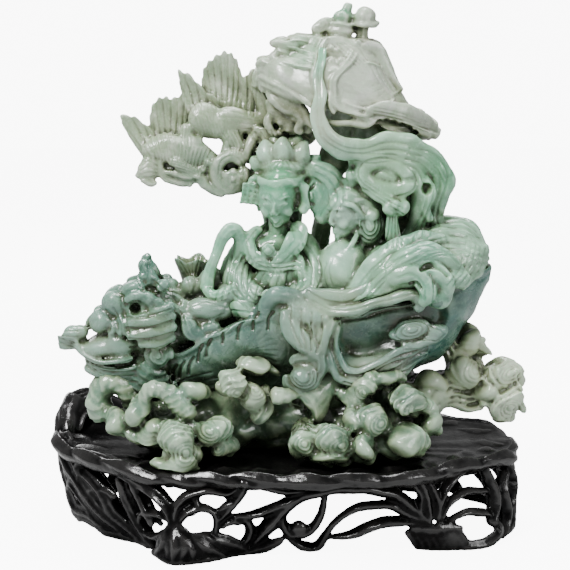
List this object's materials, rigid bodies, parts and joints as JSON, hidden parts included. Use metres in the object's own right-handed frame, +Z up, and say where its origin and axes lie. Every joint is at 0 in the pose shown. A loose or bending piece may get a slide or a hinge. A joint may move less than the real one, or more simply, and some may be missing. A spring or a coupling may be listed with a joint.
{
  "type": "jade carving",
  "caption": "Pale green jade carving of a dragon-headed boat on scrolled clouds, with two robed figures, a canopy and birds, on an openwork dark wood stand.",
  "frame": {"origin": "on the ground, under the middle of the stand", "axes": "+Z up; +X to the right of a viewer in front, from the dragon's head to the stern; +Y from the viewer towards the back"},
  "size_m": [0.3598, 0.2033, 0.3956],
  "materials": {
    "jade": "polished pale celadon jadeite with apple-green and lavender-grey patches",
    "blackwood": "carved hardwood, stained near black and waxed"
  },
  "bodies": {
    "root": {"jade_carving": "jade", "blackwood_stand": "blackwood"}
  },
  "joints": []
}
